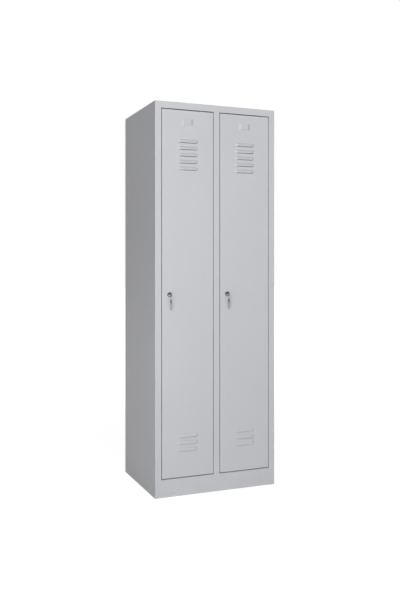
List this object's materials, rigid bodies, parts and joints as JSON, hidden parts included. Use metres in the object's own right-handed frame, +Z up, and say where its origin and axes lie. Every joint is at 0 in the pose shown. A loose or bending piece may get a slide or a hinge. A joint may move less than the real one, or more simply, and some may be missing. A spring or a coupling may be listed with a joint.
{
  "type": "metal locker",
  "caption": "Tall steel clothes locker with side-by-side vented doors, cam locks with keys, hat shelves, clothes rails and a closed plinth.",
  "frame": {"origin": "centre of the footprint at floor level, the keys in the locks included", "axes": "+X to the right across the doors seen from the front, +Y from the doors to the back, +Z up"},
  "size_m": [0.6, 0.532, 1.8],
  "materials": {
    "grey_powder_coat": "satin light grey powder coat",
    "lock_chrome": "polished",
    "zinc_steel": "zinc plated",
    "key_nickel": "nickel plated",
    "bright_steel": "bright zinc plated",
    "hook_plastic": "semi-gloss moulded",
    "buffer_rubber": "matt"
  },
  "bodies": {
    "carcass": {"left_side_panel": "grey_powder_coat", "right_side_panel": "grey_powder_coat", "centre_stile": "grey_powder_coat", "top_rail": "grey_powder_coat", "plinth_rail": "grey_powder_coat", "rear_panel": "grey_powder_coat", "roof_panel": "grey_powder_coat", "floor_panel": "grey_powder_coat", "centre_partition": "grey_powder_coat", "left_hat_shelf": "grey_powder_coat", "left_clothes_rail": "bright_steel", "left_rail_sockets": "hook_plastic", "left_lower_frame_leaf": "grey_powder_coat", "left_middle_frame_leaf": "grey_powder_coat", "left_upper_frame_leaf": "grey_powder_coat", "left_hinge_pins": "bright_steel", "left_door_buffers": "buffer_rubber", "right_hat_shelf": "grey_powder_coat", "right_clothes_rail": "bright_steel", "right_rail_sockets": "hook_plastic", "right_lower_frame_leaf": "grey_powder_coat", "right_middle_frame_leaf": "grey_powder_coat", "right_upper_frame_leaf": "grey_powder_coat", "right_hinge_pins": "bright_steel", "right_door_buffers": "buffer_rubber"},
    "left_door": {"left_lower_door_leaf": "grey_powder_coat", "left_middle_door_leaf": "grey_powder_coat", "left_upper_door_leaf": "grey_powder_coat", "left_door_panel": "grey_powder_coat", "left_door_stiffener": "grey_powder_coat", "left_lock_housing": "lock_chrome", "left_lock_nut": "zinc_steel"},
    "left_plug": {"left_lock_plug": "lock_chrome", "left_lock_cam": "zinc_steel", "left_cam_screw": "zinc_steel"},
    "left_key": {"left_lock_key": "key_nickel"},
    "left_ring": {"left_key_ring": "key_nickel"},
    "left_spare": {"left_spare_key": "key_nickel"},
    "left_hook_1": {"left_coat_hook_1": "hook_plastic"},
    "left_hook_2": {"left_coat_hook_2": "hook_plastic"},
    "right_door": {"right_lower_door_leaf": "grey_powder_coat", "right_middle_door_leaf": "grey_powder_coat", "right_upper_door_leaf": "grey_powder_coat", "right_door_panel": "grey_powder_coat", "right_door_stiffener": "grey_powder_coat", "right_lock_housing": "lock_chrome", "right_lock_nut": "zinc_steel"},
    "right_plug": {"right_lock_plug": "lock_chrome", "right_lock_cam": "zinc_steel", "right_cam_screw": "zinc_steel"},
    "right_key": {"right_lock_key": "key_nickel"},
    "right_ring": {"right_key_ring": "key_nickel"},
    "right_spare": {"right_spare_key": "key_nickel"},
    "right_hook_1": {"right_coat_hook_1": "hook_plastic"},
    "right_hook_2": {"right_coat_hook_2": "hook_plastic"}
  },
  "joints": [
    {"name": "left_door_swing", "type": "hinge", "parent": "carcass", "child": "left_door", "pos_m": [-0.0255, -0.2289, 0.925], "axis": [0, 0, 1], "range_deg": [0, 110]},
    {"name": "left_plug_turn", "type": "hinge", "parent": "left_door", "child": "left_plug", "pos_m": [-0.2315, -0.234, 0.921], "axis": [0, -1, 0], "range_deg": [0, 90]},
    {"name": "left_key_slide", "type": "slide", "parent": "left_plug", "child": "left_key", "axis": [0, -1, 0], "range_m": [0, 0.03]},
    {"name": "left_ring_swing", "type": "hinge", "parent": "left_key", "child": "left_ring", "pos_m": [-0.2315, -0.2565, 0.91955], "axis": [-1, 0, 0], "range_deg": [-8, 60]},
    {"name": "left_spare_swing", "type": "hinge", "parent": "left_ring", "child": "left_spare", "pos_m": [-0.2315, -0.2565, 0.89755], "axis": [-1, 0, 0], "range_deg": [-8, 60]},
    {"name": "left_hook_1_slide", "type": "slide", "parent": "carcass", "child": "left_hook_1", "axis": [1, 0, 0], "range_m": [-0.085, 0.085]},
    {"name": "left_hook_2_slide", "type": "slide", "parent": "carcass", "child": "left_hook_2", "axis": [1, 0, 0], "range_m": [-0.085, 0.085]},
    {"name": "right_door_swing", "type": "hinge", "parent": "carcass", "child": "right_door", "pos_m": [0.2595, -0.2289, 0.925], "axis": [0, 0, 1], "range_deg": [0, 110]},
    {"name": "right_plug_turn", "type": "hinge", "parent": "right_door", "child": "right_plug", "pos_m": [0.0535, -0.234, 0.921], "axis": [0, -1, 0], "range_deg": [0, 90]},
    {"name": "right_key_slide", "type": "slide", "parent": "right_plug", "child": "right_key", "axis": [0, -1, 0], "range_m": [0, 0.03]},
    {"name": "right_ring_swing", "type": "hinge", "parent": "right_key", "child": "right_ring", "pos_m": [0.0535, -0.2565, 0.91955], "axis": [-1, 0, 0], "range_deg": [-8, 60]},
    {"name": "right_spare_swing", "type": "hinge", "parent": "right_ring", "child": "right_spare", "pos_m": [0.0535, -0.2565, 0.89755], "axis": [-1, 0, 0], "range_deg": [-8, 60]},
    {"name": "right_hook_1_slide", "type": "slide", "parent": "carcass", "child": "right_hook_1", "axis": [1, 0, 0], "range_m": [-0.085, 0.085]},
    {"name": "right_hook_2_slide", "type": "slide", "parent": "carcass", "child": "right_hook_2", "axis": [1, 0, 0], "range_m": [-0.085, 0.085]}
  ]
}
